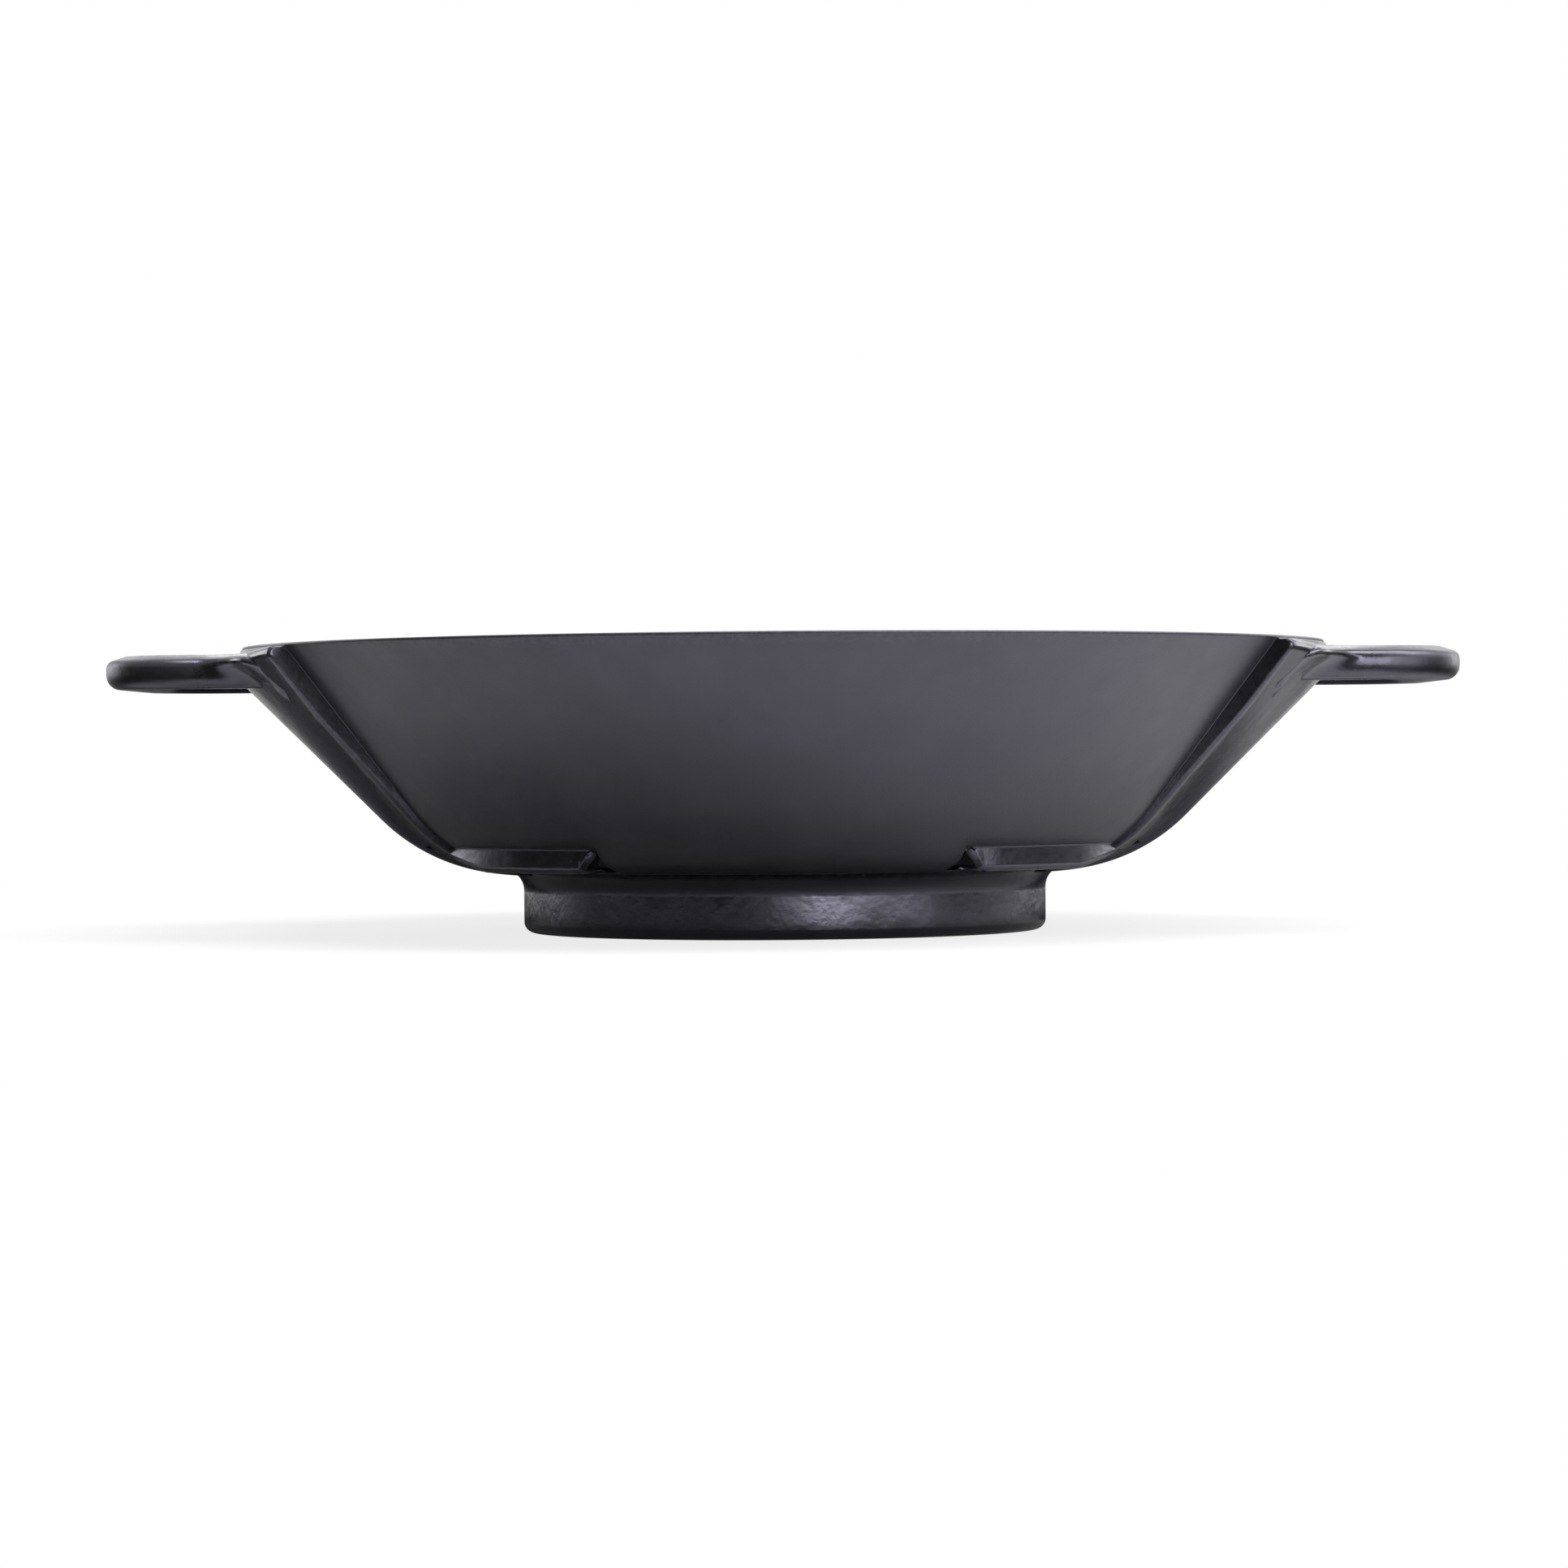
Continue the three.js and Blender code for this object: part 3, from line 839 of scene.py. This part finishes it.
class WOK_OT_handles(bpy.types.Operator):
    """Loops of flat bar with rounded edges, spreading where they grow out of the straps"""

    bl_idname = "wok.handles"
    bl_label = "Handles"

    upper_edge_steps = 4
    lower_edge_steps = 6
    bar_steps = 30
    corner_steps = 16
    grip_steps = 12

    # Half of the flat strip along the middle of the upper face
    half_crest = 0.6 * MM

    # How far the bars run in behind the strap's face
    root_depth = 13 * MM

    # How far the root's outer side falls behind the strap's face, per length beyond the fillet's end
    dive = 0.45

    # The part of a fillet that is used, short of the point where it would stand upright
    fillet_limit = 0.999

    # Where the underside begins to curve down, as a share of its fillet
    under_start = 0.45

    # The root leans with the strap's face up to this height, and the lean fades out this far each way
    lean_limit = 2.5 * MM
    lean_fade = 6 * MM

    # How much of the rounding on the outer side is filled out at the root
    filling = 0.8

    def section(self):
        """The bar's section as points across (outwards) and up, from the middle of the outer side."""
        handle = settings().handle
        half = handle.bar / 2
        up = handle.thickness / 2
        crest = Vector((self.half_crest, up))
        across = half - handle.upper_edge
        fall = ((across - crest.x) * math.sin(handle.crown) + handle.upper_edge) / math.cos(handle.crown)
        upper_centre = Vector((across, up - fall))
        lower_centre = Vector((half - handle.lower_edge, handle.lower_edge - up))
        outer = arc(upper_centre, handle.upper_edge, QUARTER, math.pi - handle.crown, self.upper_edge_steps)
        outer += [outer[-1].lerp(crest, 0.5), crest]
        lower = arc(lower_centre, handle.lower_edge, 0, QUARTER, self.lower_edge_steps)
        inner = [Vector((-point.x, point.y)) for point in reversed(lower + outer)]
        return outer + inner + lower

    def route(self, end):
        """Stations round the loop, each a place in plan and a heading. The ends lie at a radius."""
        sizes = settings()
        handle = sizes.handle
        y = handle.width / 2 - handle.bar / 2
        tip = sizes.bowl.rim_diameter / 2 + handle.reach - handle.bar / 2
        bend = handle.corner - handle.bar / 2
        inner_end = math.sqrt(end**2 - y**2)
        arm = []
        for step in range(self.bar_steps):
            arm.append((inner_end + (tip - bend - inner_end) * step / self.bar_steps, -y, 0.0))
        for step in range(self.corner_steps + 1):
            heading = QUARTER * step / self.corner_steps
            x = tip - bend + bend * math.sin(heading)
            arm.append((x, -y + bend - bend * math.cos(heading), heading))
        grip = []
        for step in range(1, self.grip_steps):
            grip.append((tip, (-y + bend) * (1 - 2 * step / self.grip_steps), QUARTER))
        other_arm = [(x, -across, math.pi - heading) for x, across, heading in reversed(arm)]
        return arm + grip + other_arm

    def spread(self, x, face, edge, fillet, outward):
        """How far a bar's side has moved out where a fillet carries it into the strap's face."""
        centre = edge + outward * fillet
        start = math.sqrt((face + fillet)**2 - centre**2)
        shore = start * face / (face + fillet)
        if outward > 0 and x < shore:
            return min(math.sqrt((face - self.dive * (shore - x))**2 - x**2) - edge, fillet)
        deep = clamped(start - x, 0, fillet * self.fillet_limit)
        return fillet - math.sqrt(fillet**2 - deep**2)

    def under(self, gap):
        """How far the underside has curved down at a distance from the strap's face."""
        radius = settings().handle.under_fillet
        close = clamped(self.under_start * radius - gap, 0, radius)
        return radius - math.sqrt(radius**2 - close**2)

    def execute(self, context):
        outline = Outline()
        handle = settings().handle
        iron = sand_cast_iron()
        middle = (outline.handle_top + outline.handle_bottom) / 2
        face = outline.strap.flank(middle).x
        under_face = outline.strap.flank(outline.handle_bottom).x
        end = face - self.root_depth
        section = self.section()
        stations = self.route(end)
        half_bar = handle.bar / 2
        outer = handle.width / 2
        inner = outer - handle.bar
        start = math.sqrt((face + handle.root_fillet)**2 - (outer + handle.root_fillet)**2)
        shore = start * face / (face + handle.root_fillet)
        for side in SIDES:
            turn = side_turn(side)

            def place(column, row):
                point = section[column % len(section)]
                x, y, heading = stations[row]
                lean = min(point.y, self.lean_limit) / math.tan(outline.strap.slope)
                rooted = clamped((shore - x) / (shore - stations[0][0]))
                sunk = handle.sink * rooted
                filled = self.filling * clamped((start - x) / (start - shore))
                if point.y < 0:
                    sunk = self.under(math.hypot(x, y) - under_face)
                else:
                    filled *= point.x / half_bar
                if point.x > 0:
                    across = point.x + filled * (half_bar - point.x)
                    across += self.spread(x, face + lean, outer, handle.root_fillet, 1)
                else:
                    across = point.x - self.spread(x, face + lean, inner, handle.throat_fillet, -1)
                lean *= clamped((face + self.lean_fade - x) / (2 * self.lean_fade))
                spot = Vector((x + math.sin(heading) * across + lean, y - math.cos(heading) * across))
                spot.x += rooted * (math.sqrt(end**2 - spot.y**2) - math.sqrt(end**2 - y**2))
                return turn @ Vector((spot.x, spot.y, middle + point.y - sunk))

            bm = bmesh.new()
            verts = wrapped(bm, len(section), len(stations) - 1, place)
            bmesh.ops.remove_doubles(bm, verts=verts, dist=WELD)
            bmesh.ops.holes_fill(bm, edges=[edge for edge in bm.edges if edge.is_boundary], sides=0)
            piece(f"wok_{side}_handle", bm, "sand_cast_iron", iron, f"{side}_handle")
        return {"FINISHED"}


class WOK_OT_stage(bpy.types.Operator):
    """The pale floor, the white surround, the lamps and the camera"""

    bl_idname = "wok.stage"
    bl_label = "Stage"

    floor_reach = 30
    sensor_width = 36
    view_end = 100

    # Fades over the floor: from and to, in metres, and the values there where they aren't 0 and 1
    # The first two fade in the painted shadow that the iron mirrors behind the wok and beside it
    painted_shadow_behind = (0.0, 0.045)
    painted_shadow_aside = (0.19, 0.28, 1.0, 0.6)
    seen_far_off = (0.25, 0.7, 0.8, 1.0)
    mirrored_far_off = (0.25, 0.33)
    room_far_off = (0.35, 1.2, 0.2, 1.0)
    drawn_in_behind = (0, 0.3, 0)

    # Fades of the room's brightness: from and to, as cosines with a direction, and the values there
    room_rear = (0.0, 0.6, 0.03, 1.0)
    room_right = (0.7, 1.0, 0.0, 0.7)
    room_right_height = (0.0, 0.15, 0.2, 1.0)
    room_above = (0.1, 0.45, 0.0, 0.5)
    room_patch = (0.8, 0.97, 0.0, 1.2)
    front_right = (0.6, -0.8, 0)

    # The room's share in plain light, and in what the iron mirrors
    room_share = (0.25, 1.0)

    # Lamps: name, place, target, width and height in metres, and power in watts
    wok_middle = (0, 0, 0.05)
    lamps = (
        ("overhead", (0.42, -0.3, 1.4), (0, -0.3, 0.05), (0.9, 2.2), 40),
        ("right_front", (0.75, -1.3, 0.2), wok_middle, (2.1, 0.4), 5),
        ("window", (0.5, -1.35, 0.2), wok_middle, (0.5, 0.4), 3),
        ("left_rear", (-1.25, 0.85, 0.35), wok_middle, (0.6, 0.6), 2.5),
        ("right_rear", (1.25, 0.85, 0.35), wok_middle, (0.6, 0.6), 2.5),
        ("rear_top", (0.2, 1.5, 0.9), wok_middle, (2.0, 0.7), 6),
        ("right_side", (1.5, -0.1, 0.85), wok_middle, (1.8, 0.7), 4),
    )

    def floor(self):
        mesh = bpy.data.meshes.new("floor")
        bm = bmesh.new()
        bmesh.ops.create_grid(bm, x_segments=1, y_segments=1, size=self.floor_reach)
        bm.to_mesh(mesh)
        bm.free()
        mesh.materials.append(self.floor_material())
        placed("floor", mesh)

    def floor_material(self):
        """Pale paint, white far off. Behind the wok the iron mirrors it with a painted shadow, and far off
        it mirrors it as the room.
        """
        stage = settings().stage
        nodes = Nodes(bpy.data.materials.new("floor"))
        path = nodes.new("ShaderNodeLightPath", {})
        glossy = path.outputs["Is Glossy Ray"]
        clear = nodes.maths("MAXIMUM", path.outputs["Is Camera Ray"], path.outputs["Is Transmission Ray"])
        place = nodes.new("ShaderNodeTexCoord", {}).outputs["Object"]
        distance = nodes.new("ShaderNodeVectorMath", {0: place}, operation="LENGTH").outputs["Value"]
        aim = nodes.new("ShaderNodeVectorMath", {0: place}, operation="NORMALIZE").outputs["Vector"]
        # Painted shadow: for mirrored rays the floor turns dark behind the wok, fading a little towards the
        # right side
        painted_shadow = nodes.maths("MULTIPLY", glossy, nodes.spread(nodes.along(place, REAR), *self.painted_shadow_behind))
        aside = nodes.spread(nodes.along(place, RIGHT), *self.painted_shadow_aside)
        painted_shadow = nodes.maths("MULTIPLY", painted_shadow, aside)
        pale = nodes.mix(painted_shadow, opaque(stage.floor), opaque(stage.painted_shadow))
        paint = nodes.new("ShaderNodeBsdfDiffuse", {"Color": pale})
        seen_far = nodes.maths("MULTIPLY", clear, nodes.spread(distance, *self.seen_far_off))
        drawn_in = nodes.maths("SUBTRACT", distance, nodes.along(place, self.drawn_in_behind))
        mirrored = nodes.maths("MULTIPLY", glossy, nodes.spread(drawn_in, *self.mirrored_far_off))
        room = nodes.spread(distance, *self.room_far_off)
        room = nodes.maths("MULTIPLY", self.room(nodes, aim), room)
        glow = nodes.new("ShaderNodeEmission", {"Strength": nodes.maths("MAXIMUM", clear, room)})
        share = nodes.maths("MAXIMUM", seen_far, mirrored)
        both = nodes.new("ShaderNodeMixShader", {0: share, 1: paint.outputs[0], 2: glow.outputs[0]})
        nodes.new("ShaderNodeOutputMaterial", {"Surface": both.outputs[0]})
        return nodes.owner

    def room(self, nodes, direction):
        """How bright the room is: dim at the front but for a patch, paler above and right, white behind."""
        height = nodes.along(direction, UP)
        rear = nodes.spread(nodes.along(direction, REAR), *self.room_rear)
        right = nodes.spread(nodes.along(direction, RIGHT), *self.room_right)
        right = nodes.maths("MULTIPLY", right, nodes.spread(height, *self.room_right_height))
        above = nodes.spread(height, *self.room_above)
        patch = nodes.spread(nodes.along(direction, self.front_right), *self.room_patch)
        level = nodes.maths("MAXIMUM", rear, right)
        return nodes.maths("MAXIMUM", level, nodes.maths("MAXIMUM", above, patch))

    def surround(self):
        """White to the camera. The iron mirrors the room, which also lights the scene a little."""
        nodes = Nodes(bpy.data.worlds.new("surround"))
        path = nodes.new("ShaderNodeLightPath", {})
        clear = nodes.maths("MAXIMUM", path.outputs["Is Camera Ray"], path.outputs["Is Transmission Ray"])
        room = self.room(nodes, nodes.new("ShaderNodeTexCoord", {}).outputs["Generated"])
        share = nodes.spread(path.outputs["Is Glossy Ray"], 0.0, 1.0, *self.room_share)
        strength = nodes.maths("MAXIMUM", clear, nodes.maths("MULTIPLY", room, share))
        back = nodes.new("ShaderNodeBackground", {"Color": (1, 1, 1, 1), "Strength": strength})
        nodes.new("ShaderNodeOutputWorld", {"Surface": back.outputs[0]})
        bpy.context.scene.world = nodes.owner

    def lamp(self, name, place, target, size, power):
        data = bpy.data.lights.new(name, "AREA")
        data.shape = "RECTANGLE"
        data.size, data.size_y = size
        data.energy = power
        obj = placed(name, data)
        obj.location = place
        obj.rotation_euler = (Vector(target) - Vector(place)).to_track_quat("-Z", "Y").to_euler()

    def camera(self):
        stage = settings().stage
        data = bpy.data.cameras.new("camera")
        data.sensor_width = self.sensor_width
        data.lens = stage.lens
        data.clip_end = self.view_end
        obj = placed("camera", data)
        turn = Matrix.Rotation(stage.camera_turn, 4, "Z")
        spot = turn @ Vector((0, -stage.distance, stage.camera_height))
        tilt = Matrix.Rotation(QUARTER - stage.pitch, 4, "X") @ Matrix.Rotation(-stage.roll, 4, "Z")
        obj.matrix_world = Matrix.Translation(spot) @ turn @ tilt
        bpy.context.scene.camera = obj

    def execute(self, context):
        self.floor()
        self.surround()
        for lamp in self.lamps:
            self.lamp(*lamp)
        self.camera()
        context.scene.view_settings.view_transform = "Standard"
        return {"FINISHED"}


class WOK_PT_panel(bpy.types.Panel):
    """The wok's pieces and its stage"""

    bl_idname = "WOK_PT_panel"
    bl_label = "Cast iron wok"
    bl_space_type = "VIEW_3D"
    bl_region_type = "UI"
    bl_category = "Wok"

    def draw(self, context):
        for operator in OPERATORS:
            self.layout.operator(operator.bl_idname)


OPERATORS = (WOK_OT_bowl, WOK_OT_foot_ring, WOK_OT_straps, WOK_OT_lugs, WOK_OT_handles, WOK_OT_stage)
GROUPS = (WokBowl, WokFoot, WokStrap, WokLug, WokHandle, WokFinish, WokStage, WokSettings)


def register():
    for cls in (*GROUPS, *OPERATORS, WOK_PT_panel):
        bpy.utils.register_class(cls)
    bpy.types.Scene.wok = PointerProperty(type=WokSettings)


def unregister():
    del bpy.types.Scene.wok
    for cls in reversed((*GROUPS, *OPERATORS, WOK_PT_panel)):
        bpy.utils.unregister_class(cls)


def main():
    register()
    bpy.ops.wok.bowl()
    bpy.ops.wok.foot_ring()
    bpy.ops.wok.straps()
    bpy.ops.wok.lugs()
    bpy.ops.wok.handles()
    bpy.ops.wok.stage()


if __name__ == "__main__":
    main()
